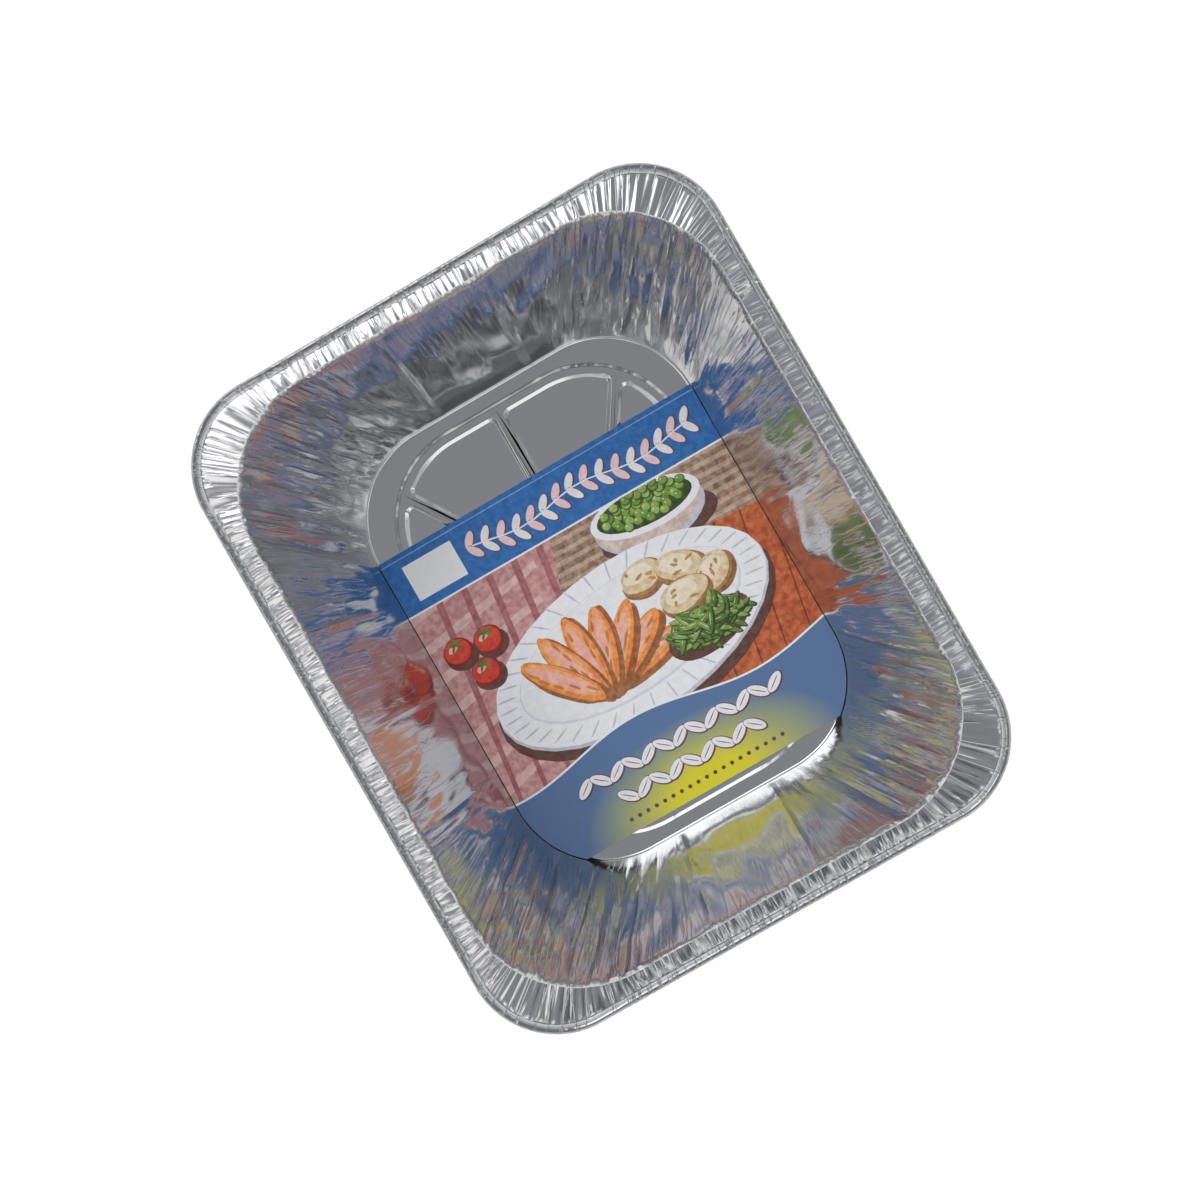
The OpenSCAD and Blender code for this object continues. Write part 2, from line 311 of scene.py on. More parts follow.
# Narrow folds run down from the lip, most of them round the corners, and each stops at its own height
fold_count = 620
fold_place = press.uniform(0, lip_way, fold_count)
fold_width = press.uniform(1.2, 3.8, fold_count)
fold_foot = press.uniform(-0.4, 0.7, fold_count)
fold_lean = press.normal(0, 5, fold_count)
fold_size = press.choice([-1, 1], fold_count) * press.uniform(0.25, 1, fold_count)
straight_fold = 0.2
corner_fold = 0.95
fold_size *= straight_fold + corner_fold * in_corner(fold_place)
fold_run_in = 0.3


def narrow_folds(place, share):
    off = apart(place[:, None] - fold_place - fold_lean * (1 - share))
    ridge = np.maximum(0, 1 - off / fold_width)
    rise = np.clip((share - fold_foot) / fold_run_in, 0, 1)
    return (ridge * rise * fold_size).sum(1)


# Broader folds stand round the foot of each corner and run out on their way up
foot_press = np.random.default_rng(3)
foot_count = 120
foot_quarter = foot_press.integers(0, 4, foot_count)
foot_along = lip_side + foot_press.uniform(-corner_passage, lip_turn + corner_passage, foot_count)
foot_along = np.where(foot_quarter % 2 == 0, foot_along, quarter_way - foot_along)
foot_place = foot_quarter * quarter_way + foot_along
foot_width = foot_press.uniform(1.8, 4.2, foot_count)
foot_top = foot_press.uniform(0.22, 0.62, foot_count)
foot_lean = foot_press.normal(0, 9, foot_count)
foot_size = foot_press.choice([-1, 1], foot_count) * foot_press.uniform(0.35, 0.95, foot_count)
foot_start = 0.02
foot_run_in = 0.08
foot_run_out = 0.22


def foot_folds(place, share):
    off = apart(place[:, None] - foot_place - foot_lean * share)
    ridge = np.maximum(0, 1 - off / foot_width)
    rise = np.clip((share - foot_start) / foot_run_in, 0, 1)
    fall = np.clip((foot_top - share) / foot_run_out, 0, 1)
    return (ridge * (rise * fall) * foot_size).sum(1)


# Shallow dents wherever the sheet was handled
dent_count = 40
dent_depth = 0.6
dent_turns = press.integers(4, 52, dent_count)
dent_levels = press.uniform(0.2, 3.6, dent_count)
dent_starts = press.uniform(0, 2 * math.pi, (2, dent_count))
dent_sizes = press.normal(0, 1, dent_count) * dent_depth / np.sqrt(dent_turns)


def dents(place, share):
    turn = place[:, None] / lip_way * 2 * math.pi * dent_turns + dent_starts[0]
    level = share * 2 * math.pi * dent_levels + dent_starts[1]
    return (np.cos(turn) * np.cos(level) * dent_sizes).sum(1)


# Fine wrinkles hang from the lip, deeper in the corners and about twice as far down there
wrinkle_depth = 0.2
corner_wrinkle = 0.34
wrinkle_run_in = 0.25
wrinkle_size = press.uniform(0.1, 1, crease_count) * (wrinkle_depth + corner_wrinkle * in_corner(crease))
wrinkle_foot = 1 - press.uniform(0.1, 0.9, crease_count) * (1.1 + in_corner(crease)) / 1.6

# Heights on the wall, as shares of it, from which its ribs, folds and dents have their full depth,
# from which the ribs sink to half at the lip, and from which all of it sinks to a fifth
rib_full = 0.12
broad_full = 0.42
narrow_full = 0.16
dent_full = 0.2
rib_sinks = 0.76
all_sinks = 0.8
all_at_lip = 0.2
# Between the corners the walls bow inwards a little
wall_bow = 0.7
# How hard the foil is worked at the foot of the straight walls, how much harder at their lip, how
# hard in the corners, and the share of the height over which that sets in
worked_foot = 0.12
worked_rise = 0.34
worked_corner = 0.62
worked_full = 0.1


def wall_row(share, place, fine_row):
    outline = between(inset(floor_line, -base_fillet * math.sin(lean)), wall_top, share)
    z_foot = floor_z + base_fillet * (1 - math.cos(lean))
    z = z_foot + (wall_top_z - z_foot) * share
    points, out = on_outline(outline, place)
    ribs = min(1, share / rib_full)
    ribs *= 1 if share < rib_sinks else 1 - (share - rib_sinks) / (1 - rib_sinks) / 2
    wrinkles = up_down * wrinkle_size * np.clip((share - wrinkle_foot) / wrinkle_run_in, 0, 1)
    wrinkles = along_creases(wrinkles) if fine_row else wrinkles
    free = 1 - wall_ribs(place)
    push = min(1, share / broad_full) * broad_folds(place)
    push += min(1, share / narrow_full) * narrow_folds(place, share) * free
    push += foot_folds(place, share) * free
    push -= wall_bow * math.sin(math.pi * share) * (1 - in_corner(place))
    push += wrinkles * free + min(1, share / dent_full) * dents(place, share) * free
    push -= ribs * rib_rise * wall_ribs(place)
    push *= min(1, 1 - (share - all_sinks) / (1 - all_sinks) * (1 - all_at_lip))
    points = points + out * push[:, None]
    straight = worked_foot + worked_rise * share ** 2
    worked = min(1, share / worked_full) * (straight + (worked_corner - straight) * in_corner(place))
    row = add_row(np.column_stack([points, np.full(len(points), z)]), place, share * wall_top_z, worked)
    return row, ways(outline, points)


# Small fillet at the foot of the walls, and above it the walls' rows, twice as fine from halfway up
fillet_rows = []
for turn in (-0.25, 0, 0.25, 0.5, 0.75, 1):
    angle = lean * max(turn, 0)
    outline = inset(floor_line, -base_fillet * math.sin(lean * turn))
    points = on_outline(outline, crease)[0]
    z = floor_z + base_fillet * (1 - math.cos(angle))
    row = add_row(np.column_stack([points, np.full(crease_count, z)]), crease, 0)
    fillet_rows.append((row, ways(outline, points)))
for inner, outer in zip(fillet_rows, fillet_rows[1:]):
    join(inner[0], outer[0])
floor_edge = fillet_rows[0]

lower_shares = (0.04, 0.08, 0.13, 0.19, 0.25, 0.31, 0.37, 0.43, 0.49, 0.55)
upper_shares = (0.6, 0.66, 0.72, 0.78, 0.84, 0.89, 0.93, 0.965, 1)
below = fillet_rows[-1]
for share in lower_shares:
    above = wall_row(share, crease, False)
    join(below[0], above[0])
    below = above
above = wall_row(upper_shares[0], fine, True)
lace(below[0], np.arange(crease_count), above[0], np.arange(2 * crease_count) / 2, crease_count)
below = above
for share in upper_shares[1:]:
    above = wall_row(share, fine, True)
    join(below[0], above[0])
    below = above

# Lip and pleated flange: each pleat leans a little its own way
pleat_lean = along_creases(press.normal(0, 0.35, crease_count))
pleat_size = press.uniform(0.12, 0.62, crease_count)
pleat_outer_size = np.clip(pleat_size * press.uniform(0.5, 1.4, crease_count), 0.1, 1)
swell_count = 12
swell_depth = 0.055
swell_turns = press.integers(40, 130, swell_count)
swell_starts = press.uniform(0, 2 * math.pi, swell_count)
swell = np.cos(fine[:, None] / lip_way * 2 * math.pi * swell_turns + swell_starts).sum(1) * swell_depth
pleat_lift = along_creases(up_down * pleat_size) * pleat_h / 2 + swell
pleat_outer_lift = along_creases(up_down * pleat_outer_size) * pleat_h / 2 - swell
lip_points = on_outline(lip_line, fine)[0]
leaning = on_outline(lip_line, fine + pleat_lean)
outer_points = leave(pleat_outer, *leaning)
top_points = on_outline(wall_top, fine)[0]
lip_worked = 0.6
flange_worked = 0.45
flange_crown = 0.175


def loop_row(points, z, place=0, up=0, worked=0):
    return add_row(np.column_stack([points, np.broadcast_to(z, len(points))]), place, up, worked)


for share, drop in ((0.35, 0.62), (0.75, 0.17)):
    points = top_points + (lip_points - top_points) * share
    row = loop_row(points, wall_top_z + lip_h * (1 - drop) + pleat_lift * share, fine, lip_z, lip_worked)
    join(below[0], row)
    below = (row, None)
for share in (0, 0.18, 0.4, 0.65, 0.88, 1):
    points = lip_points + (outer_points - lip_points) * share
    crown = flange_crown * math.sin(math.pi * share)
    fade = 1 if share < 0.9 else 0.75
    lift = (pleat_lift + (pleat_outer_lift - pleat_lift) * share) * fade
    z = lip_z - flange_fall * share + crown + lift
    row = loop_row(points, z, fine, lip_z + flange_w * share, flange_worked)
    join(below[0], row)
    below = (row, None)

# Gutter and rolled edge, which is crimped finely as it is turned over
crimp = along_creases(up_down * press.uniform(0.2, 1, crease_count))
crimp_depth = 0.05
gutter_drop = 0.2
gutter_pleats = 0.3
rolled_way = lip_z + flange_w + bead_d
gutter_points = leave(gutter_line, *leaning)
row = loop_row(gutter_points, pleat_outer_z - gutter_drop + pleat_outer_lift * gutter_pleats, fine,
               rolled_way, lip_worked)
join(below[0], row)
below = (row, None)
rim_points = leave(rim_line, *leaning)
rim_out = rim_points - gutter_points
rim_out /= np.linalg.norm(rim_out, axis=1)[:, None]
for angle in (165, 135, 108, 80, 52, 24, -10, -60, -120):
    turn = math.radians(angle)
    rolled = bead_r * (1 - crimp_depth * (1 + crimp))
    out = (rolled * math.cos(turn) - bead_r)[:, None] * rim_out
    z = bead_z + rolled * math.sin(turn)
    row = loop_row(rim_points + out, z, fine, rolled_way + bead_r * (3 - turn), 1)
    join(below[0], row)
    below = (row, None)
open_edge = row

# Floor: a rib runs round it, and six more run from its middle to the rib and leave six panels
ring_turn = 30
ring_side = 8
rounded_points = 9
slope_shares = (0, 0.07, 0.2, 0.8, 0.93, 1)


def even_loop(outline):
    run_y = outline[0] - outline[2]
    run_x = outline[1] - outline[2]
    turn = np.linspace(0, math.pi / 2, ring_turn + 1)
    side = np.column_stack([np.full(ring_side, outline[1]), np.arange(ring_side) * run_y / ring_side])
    corner = np.column_stack([run_x + outline[2] * np.cos(turn), run_y + outline[2] * np.sin(turn)])
    back_in = np.arange(ring_side - 1, -1, -1) * run_x / ring_side
    end = np.column_stack([back_in, np.full(ring_side, outline[0])])
    quarter = np.concatenate([side, corner, end])
    back = quarter[::-1]
    return np.concatenate([quarter[:-1], back[:-1] * [-1, 1], quarter[:-1] * -1, back[:-1] * [1, -1]])


# Share of a slope's height at a share of its width: straight, with its two ends rounded off
def eased(share):
    return float(np.interp(share, slope_shares, (0, 0.03, 0.16, 0.84, 0.97, 1)))


ring_rows = []
for share in (-0.15, *slope_shares, 1.15):
    outline = inset(ring_line, floor_rib_slope * (1 - share))
    points = even_loop(outline)
    row = loop_row(points, rib_z - floor_rib_h * eased(share))
    ring_rows.append((row, ways(outline, points), points))
for inner, outer in zip(ring_rows, ring_rows[1:]):
    join(inner[0], outer[0])
lace(ring_rows[-1][0], ring_rows[-1][1], floor_edge[0], floor_edge[1], 12)


def unit(v):
    return v / np.linalg.norm(v)


def left(v):
    return np.array([-v[1], v[0]])


# Rounded corner at p between directions d1 and d2
def rounded(p, d1, d2, r):
    half = math.acos(np.dot(d1, d2)) / 2
    sweep = math.pi - 2 * half
    centre = p + unit(d1 + d2) * r / math.sin(half)
    v1 = p + d1 * r / math.tan(half) - centre
    v2 = p + d2 * r / math.tan(half) - centre
    return [centre + (math.sin((1 - t) * sweep) * v1 + math.sin(t * sweep) * v2) / math.sin(sweep)
            for t in np.linspace(0, 1, rounded_points)]


def outward(outline, p):
    middle = np.array([outline[1] - outline[2], outline[0] - outline[2]])
    if (np.abs(p) > middle).all():
        return unit(p - np.sign(p) * middle)
    if abs(p[1]) > outline[0] - 0.001:
        return np.array([0, np.sign(p[1])])
    return np.array([np.sign(p[0]), 0])


# Outline of a panel, k inside the line where its sloped side starts
def panel_line(crest, k):
    u1, u2 = unit(crest[0]), unit(crest[-1])
    h = floor_rib_top / 2 + k
    outline = inset(ring_crest, floor_rib_top + k)
    r = panel_corner - k
    p1 = leave(outline, (h * left(u1))[None], u1[None])[0]
    p2 = leave(outline, (-h * left(u2))[None], u2[None])[0]
    t1, t2 = left(outward(outline, p1)), left(outward(outline, p2))
    tip = unit(u1 + u2) * h / math.sin(math.acos(np.dot(u1, u2)) / 2)
    away = crest / np.linalg.norm(crest, axis=1)[:, None]
    edge = leave(outline, np.zeros_like(away), away)
    edge = [p for p in edge if np.dot(p - p1, t1) > 2 * r and np.dot(p2 - p, t2) > 2 * r]
    return np.array(rounded(p1, -u1, t1, r) + edge + rounded(p2, -t2, -u2, r) + rounded(tip, u2, u1, r))


def turned_from_tip(line, centre):
    gap = line - centre
    turn = np.mod(np.arctan2(gap[:, 1], gap[:, 0]) - math.atan2(-centre[1], -centre[0]), 2 * math.pi)
    first = int(np.argmin(turn))
    return np.roll(np.arange(len(line)), -first), np.roll(turn, -first)


crest_row, _, crest_points = ring_rows[0]
ring_count = len(crest_points)
quarter_count = ring_count // 4
middle_row = loop_row(np.zeros((1, 2)), rib_z)
corner_stop = ring_side + ring_turn // 2
stops = [corner_stop, quarter_count, 2 * quarter_count - corner_stop, 2 * quarter_count + corner_stop,
         3 * quarter_count, ring_count - corner_stop]
for start, stop in zip(stops, stops[1:] + [ring_count + stops[0]]):
    span = np.arange(start, stop + 1) % ring_count
    crest = crest_points[span]
    low_line = panel_line(crest, floor_rib_slope)
    centre = (low_line[0] + low_line[-1 - rounded_points] + low_line[-1]) / 3
    fan = np.concatenate([[[0.0, 0.0]], crest])
    order, outer_turn = turned_from_tip(fan, centre)
    outer = np.concatenate([middle_row, crest_row[span]])[order]
    for share in (-0.12, *slope_shares, 1.15):
        line = panel_line(crest, floor_rib_slope * share)
        order, turn = turned_from_tip(line, centre)
        row = loop_row(line[order], rib_z - floor_rib_h * eased(share))
        lace(row, turn, outer, outer_turn, 2 * math.pi)
        outer, outer_turn = row, turn
    inner = loop_row(centre[None], floor_z)
    nexts = np.roll(outer, -1)
    sheet_faces.append(np.stack([np.full(len(outer), inner[0]), outer, nexts], 1))

# The sheet gets its two sides, half its thickness off its middle, and a cut edge under the roll
middle = np.concatenate(sheet_points)
faces = np.concatenate(sheet_faces)
corners = middle[faces]
face_out = np.cross(corners[:, 1] - corners[:, 0], corners[:, 2] - corners[:, 0])
point_out = np.zeros_like(middle)
for k in range(3):
    np.add.at(point_out, faces[:, k], face_out)
point_out /= np.linalg.norm(point_out, axis=1)[:, None]
upper = middle + point_out * foil / 2
lower = middle - point_out * foil / 2
edge_next = np.roll(open_edge, -1)
count = len(middle)
edge_faces = np.concatenate([np.stack([open_edge, open_edge + count, edge_next + count], 1),
                             np.stack([open_edge, edge_next + count, edge_next], 1)])
all_points = np.concatenate([upper, lower])
all_faces = np.concatenate([faces, faces[:, ::-1] + count, edge_faces])
all_points[:, 2] = np.clip(all_points[:, 2], 0, pan_height)
all_points[:, 0] = np.clip(all_points[:, 0], -pan_width / 2, pan_width / 2)
all_points[:, 1] = np.clip(all_points[:, 1], -pan_length / 2, pan_length / 2)
pan_mesh = bpy.data.meshes.new("foil_sheet")
pan_mesh.from_pydata((all_points / 1000).tolist(), [], all_faces.tolist())
pan_mesh.polygons.foreach_set("use_smooth", np.ones(len(all_faces), bool))
sharp_fold = 28
pan_mesh.set_sharp_from_angle(angle=math.radians(sharp_fold))
turn = np.concatenate(sheet_ways)[:, 0] / lip_way * 2 * math.pi
up, worked = np.concatenate(sheet_ways)[:, 1:].T
lip_reach = lip_way / (2 * math.pi)
drawn = np.column_stack([lip_reach * np.cos(turn), lip_reach * np.sin(turn), up])
drawn_way = pan_mesh.attributes.new("drawn_way", "FLOAT_VECTOR", "POINT")
drawn_way.data.foreach_set("vector", np.tile(drawn / 1000, (2, 1)).ravel())
worked_share = pan_mesh.attributes.new("worked", "FLOAT", "POINT")
worked_share.data.foreach_set("value", np.tile(worked, 2))
pan = bpy.data.objects.new("foil_sheet", pan_mesh)
bpy.context.scene.collection.objects.link(pan)


# A new finish, with its steps and its shader
def new_finish(name):
    finish = bpy.data.materials.new(name)
    finish.use_nodes = True
    return finish, finish.node_tree, finish.node_tree.nodes["Principled BSDF"]


# Feeds a number, or what another step gives, into a socket of a finish
def feed(tree, value, socket):
    if isinstance(value, (int, float)):
        socket.default_value = value
    else:
        tree.links.new(value, socket)


def reckoned(tree, operation, *values):
    step = tree.nodes.new("ShaderNodeMath")
    step.operation = operation
    for value, socket in zip(values, step.inputs):
        feed(tree, value, socket)
    return step.outputs["Value"]


# Carries a value from one range to another, straight or eased at both ends
def carried(tree, value, start, end, first=0, last=1, ease="LINEAR"):
    step = tree.nodes.new("ShaderNodeMapRange")
    step.interpolation_type = ease
    for name, number in (("From Min", start), ("From Max", end), ("To Min", first), ("To Max", last)):
        step.inputs[name].default_value = number
    tree.links.new(value, step.inputs["Value"])
    return step.outputs["Result"]


# Noise laid out along given coordinates
def noise(tree, along, scale, detail, distortion=0):
    step = tree.nodes.new("ShaderNodeTexNoise")
    step.inputs["Scale"].default_value = scale
    step.inputs["Detail"].default_value = detail
    step.inputs["Distortion"].default_value = distortion
    tree.links.new(along, step.inputs["Vector"])
    return step.outputs["Fac"]


# Raises the foil by a height in metres, on top of what raises it already
def raised(tree, pattern, height, strength, under=None):
    step = tree.nodes.new("ShaderNodeBump")
    step.inputs["Distance"].default_value = height
    feed(tree, strength, step.inputs["Strength"])
    tree.links.new(pattern, step.inputs["Height"])
    if under is not None:
        tree.links.new(under, step.inputs["Normal"])
    return step.outputs["Normal"]


# Turns a value into a colour that runs through the tones at given values
def toned(tree, value, tones):
    step = tree.nodes.new("ShaderNodeValToRGB")
    ramp = step.color_ramp.elements
    ramp.remove(ramp[1])
    ramp[0].position = min(tones)
    for at in sorted(tones):
        mark = ramp[0] if at == min(tones) else ramp.new(at)
        mark.color = (*tones[at], 1)
    tree.links.new(value, step.inputs["Fac"])
    return step.outputs["Color"]


foil_finish, tree, shader = new_finish("foil_finish")
shader.inputs["Metallic"].default_value = 1
place = tree.nodes.new("ShaderNodeTexCoord").outputs["Object"]
# Faint grain of the rolled sheet
grain = noise(tree, place, scale=900, detail=3)
grained = raised(tree, grain, height=0.00006, strength=0.3)
# Streaks and thin creases run the way the foil was drawn, down the walls and across the flange
draw_stretch = 0.09
crease_height = 0.00035
drawn_from = tree.nodes.new("ShaderNodeAttribute")
drawn_from.attribute_name = "drawn_way"
worked_from = tree.nodes.new("ShaderNodeAttribute")
worked_from.attribute_name = "worked"
hard_worked = worked_from.outputs["Fac"]
stretched = tree.nodes.new("ShaderNodeMapping")
stretched.inputs["Scale"].default_value = (1, 1, draw_stretch)
tree.links.new(drawn_from.outputs["Vector"], stretched.inputs["Vector"])
drawn_place = stretched.outputs["Vector"]
# The streaks come in bunches, with smoother foil between them
bunches = carried(tree, noise(tree, place, scale=55, detail=2), 0.4, 0.62, first=0.15)
streaks = noise(tree, drawn_place, scale=460, detail=2)
streak_share = reckoned(tree, "MULTIPLY", bunches, hard_worked)
streaked = raised(tree, streaks, crease_height, streak_share, grained)
# The creases are narrow grooves where the noise passes its middle
creases = noise(tree, drawn_place, scale=260, detail=3, distortion=0.4)
off_middle = reckoned(tree, "SUBTRACT", creases, 0.5)
groove = carried(tree, reckoned(tree, "ABSOLUTE", off_middle), 0, 0.03, ease="SMOOTHSTEP")
creased = raised(tree, groove, crease_height, hard_worked, streaked)
tree.links.new(creased, shader.inputs["Normal"])
# Rolling haze varies slowly over the sheet, and the worked foil is duller
worked_dullness = 0.08
haze = carried(tree, noise(tree, place, scale=60, detail=3), 0, 1, first=0.09, last=0.18)
dull = reckoned(tree, "MULTIPLY_ADD", hard_worked, worked_dullness, haze)
tree.links.new(dull, shader.inputs["Roughness"])
# Where the foil has been worked hardest, in the corners and along the rolled edge, its colour is darkened:
# painted shade for the dim light in its folds and crimps
foil_tones_with_painted_shade = {0: (0.66, 0.665, 0.675), worked_corner: (0.57, 0.575, 0.59), 1: (0.40, 0.405, 0.42)}
tree.links.new(toned(tree, hard_worked, foil_tones_with_painted_shade), shader.inputs["Base Color"])
pan_mesh.materials.append(foil_finish)
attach(pan, "root")
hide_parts("foil_pan")

# Card: a sheet of white board cut to the outline of the floor, with a straight upper and lower edge.
# It lies loose on the floor ribs and bows a little. The print is a plain picture of cooked
# vegetables between two bands, in flat inks under a gloss varnish. Lengths are in mm.
card_low, card_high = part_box("label_card")
card_foot = card_low.y * 1000
card_head = card_high.y * 1000
card_under = card_low.z * 1000
card_over = card_high.z * 1000
# The solid keeps clear of the wall, and the real board all but fills the gap
card_wider = 0.7
card_line = inset(floor_line, floor_line[1] - card_high.x * 1000 - card_wider)
card_mid = card_line[1] - card_line[2]
draw = np.random.default_rng(5)
print_layers = []
arc_points = 28


def corner_arc(y_mid, y_from, y_to):
    first = math.asin((y_from - y_mid) / card_line[2])
    last = math.asin((y_to - y_mid) / card_line[2])
    return [(card_mid + card_line[2] * math.cos(a), y_mid + card_line[2] * math.sin(a))
            for a in np.linspace(first, last, arc_points)]


# The lower corners are round, and the upper edge is cut where its corners have hardly begun
card_run = card_line[0] - card_line[2]
right_side = corner_arc(-card_run, card_foot, -card_run)
right_side += corner_arc(card_run, card_run, card_head)[::arc_points - 1]
card_outline = right_side + [(-x, y) for x, y in right_side[::-1]]


# Puts a shape on top of the print so far, its outline anticlockwise
def lay(ink, points):
    x, y = np.array(points).T
    clockwise = (x * np.roll(y, -1) - np.roll(x, -1) * y).sum() < 0
    outline = [Vector(p) for p in points]
    print_layers.append((ink, outline[::-1] if clockwise else outline))


# Oval with its middle at x, y and half its length and width a and b, turned, and drawn roughly by hand
def blob(ink, x, y, a, b, turn=0, rough=0.0, count=30):
    angle = np.arange(count) / count * 2 * math.pi
    reach = np.ones(count)
    for wave in (2, 3, 4, 5, 7):
        reach += rough * draw.normal() / wave * np.cos(wave * angle + draw.uniform(0, 6.3))
    px, py = a * np.cos(angle) * reach, b * np.sin(angle) * reach
    c, s = math.cos(math.radians(turn)), math.sin(math.radians(turn))
    lay(ink, np.column_stack([x + px * c - py * s, y + px * s + py * c]))


# Places beyond the card's edges, where a shape of the print is cut off with the board
past = 99


def strip(ink, y_low, y_high):
    lay(ink, [(-past, y_low), (past, y_low), (past, y_high), (-past, y_high)])


# Red table, a pink cloth with woven stripes over its left part, and brown boards at the far side
lay("wood", card_outline)
for board in range(9):
    x = 8 + 15 * board
    lay("wood_dark", [(x, -75), (x + 0.9, -75), (x + 17, 10), (x + 16, 10)])
lay("boards", [(-past, 20), (past, 4), (past, 60), (-past, 60)])
for board in range(7):
    y = 42 - 5.4 * board
    lay("boards_light", [(-past, y + 3), (past, y - 3), (past, y - 0.4), (-past, y + 5)])
lay("cloth", [(-past, -78), (-60, -80), (-38, -40), (-16, 20), (-8, 45), (-20, 60), (-past, 60)])
for fold in range(7):
    y = 36 - 17 * fold
    hem = -16 - 6 * fold
    lay("cloth_light", [(-past, y), (hem, y + 13), (hem, y + 17), (-past, y + 5)])
for fold in range(5):
    x = -92 + 15 * fold
    lay("cloth_dark", [(x, -75), (x + 2.5, -75), (x + 19, 50), (x + 15, 50)])

# Bowl of peas behind the plate
bowl_x = 42
bowl_y = 31
pea_count = 46
# Each pea, and each leaf further on, lies this far round from the one before, in radians
next_round = 2.4
blob("shadow", bowl_x + 2, bowl_y - 12, 33, 13, -4)
blob("china_shade", bowl_x, bowl_y - 5, 31, 17, -4)
blob("bowl", bowl_x - 1, bowl_y - 4, 29.5, 15.6, -4)
blob("china", bowl_x, bowl_y, 31, 12.4, -4)
blob("leaf_dark", bowl_x, bowl_y + 0.5, 27, 9.6, -4)
for pea in range(pea_count):
    turn, reach = pea * next_round, math.sqrt((pea + 0.5) / pea_count)
    x = bowl_x + 24.5 * reach * math.cos(turn)
    y = bowl_y + 2 + 8.6 * reach * math.sin(turn)
    blob("pea_dark", x + 0.3, y - 0.5, 2.7, 2.5, 0, 0.03, 14)
    blob(("pea", "pea_warm", "pea_light")[pea % 3], x, y, 2.3, 2.1, 0, 0.03, 14)
    blob("pea_shine", x - 0.7, y + 0.8, 0.6, 0.5, 0, 0, 8)

# Oval plate with a fluted rim
plate_x = 2
plate_y = -24
plate_turn = 6
flute_count = 40
blob("shadow", plate_x, plate_y - 6, 84, 42, plate_turn)
blob("china_shade", plate_x, plate_y - 1.5, 82.5, 40.5, plate_turn)
blob("china", plate_x, plate_y, 82, 40, plate_turn)
for flute in range(flute_count):
    turn = flute * 360 / flute_count + 4
    c, s = math.cos(math.radians(turn)), math.sin(math.radians(turn))
    x, y = plate_x + 75 * c, plate_y + 0.5 + 35 * s
    blob("china_shade", x, y + 0.08 * x, 5.5, 0.5, math.degrees(math.atan2(35 * s, 75 * c)), 0, 10)
blob("china_dim", plate_x, plate_y + 1, 68, 29.5, plate_turn)
blob("china_light", plate_x, plate_y + 1.6, 67, 28.6, plate_turn)

# Carrots cut lengthwise and fanned out, each with a pale heart
fan_x = -22
fan_y = -40
for number in range(7):
    turn = 12 + 20 * number
    c, s = math.cos(math.radians(turn)), math.sin(math.radians(turn))
    x = fan_x + 27 * c
    y = fan_y + 18 * s
    blob("gravy", x + 1.4, y - 2.4, 25, 7.4, turn, 0.06)
    blob("carrot_dark", x + 0.4, y - 0.9, 24.6, 7.1, turn, 0.05)
    blob("carrot", x, y, 24, 6.5, turn, 0.05)
    blob("carrot_light", x, y + 0.8, 20.5, 4.6, turn, 0.08)
    blob("carrot_heart", x, y + 0.7, 18, 2.7, turn, 0.12)
    for mark in range(5):
        slide = -15 + 7.5 * mark + draw.uniform(-2, 2)
        side = draw.uniform(-4.4, 4.4)
        blob("carrot_brown", x + slide * c - side * s, y + slide * s + side * c, 3.2, 0.8, turn, 0.2, 12)

# Potatoes with browned patches, and a heap of leaves in front of them
potatoes = ((22, 1, 12, 8.5, 15), (42, -4, 13, 9, -20), (56, -15, 12, 8.5, 30), (37, -18, 14, 9, 8))
for x, y, a, b, turn in potatoes:
    blob("gravy", x + 1.2, y - 2.4, a + 1, b + 0.8, turn, 0.05)
    blob("potato_dark", x + 0.3, y - 0.8, a, b, turn, 0.06)
    blob("potato", x, y, a - 0.6, b - 0.8, turn, 0.06)
    blob("potato_light", x - 1, y + 1.6, a - 4, b - 4, turn, 0.12)
    for mark in range(4):
        blob("potato_brown", x + draw.uniform(-7, 7), y + draw.uniform(-4, 4),
             draw.uniform(0.9, 2.6), 0.9, draw.uniform(0, 180), 0.3, 12)
heap_x = 40
heap_y = -37
leaf_count = 64
blob("shadow", heap_x, heap_y - 3, 25, 11.5, 6, 0.06)
for number in range(leaf_count):
    turn, reach = number * next_round, math.sqrt((leaf_count - number) / leaf_count)
    x = heap_x + 21 * reach * math.cos(turn)
    y = heap_y + 9.5 * reach * math.sin(turn)
    tilt = draw.uniform(-70, 70)
    blob("leaf_dark", x + 0.4, y - 0.6, 7.6, 1.9, tilt, 0.06, 16)
    blob(("leaf", "leaf_warm", "leaf_light")[number % 3], x, y, 7.2, 1.4, tilt, 0.06, 16)
    blob("pea_shine", x, y + 0.4, 3.6, 0.25, tilt, 0, 8)

# Small tomatoes on the cloth
for x, y in ((-72, -2), (-63, 12), (-80, 14)):
    blob("shadow", x + 1, y - 3, 9, 7.5, 0, 0.03)
    blob("tomato_dark", x, y, 8.2, 7.6, 0, 0.03)
    blob("tomato", x - 0.3, y + 0.6, 7.2, 6.4, 0, 0.03)
    blob("tomato_light", x - 1.8, y + 2.6, 3, 1.7, 25, 0.1)
    for leaf in range(5):
        turn = 90 + 72 * leaf
        blob("leaf", x + 2.4 * math.cos(math.radians(turn)), y + 4 + 1.6 * math.sin(math.radians(turn)),
             2.6, 0.7, turn, 0.1, 10)

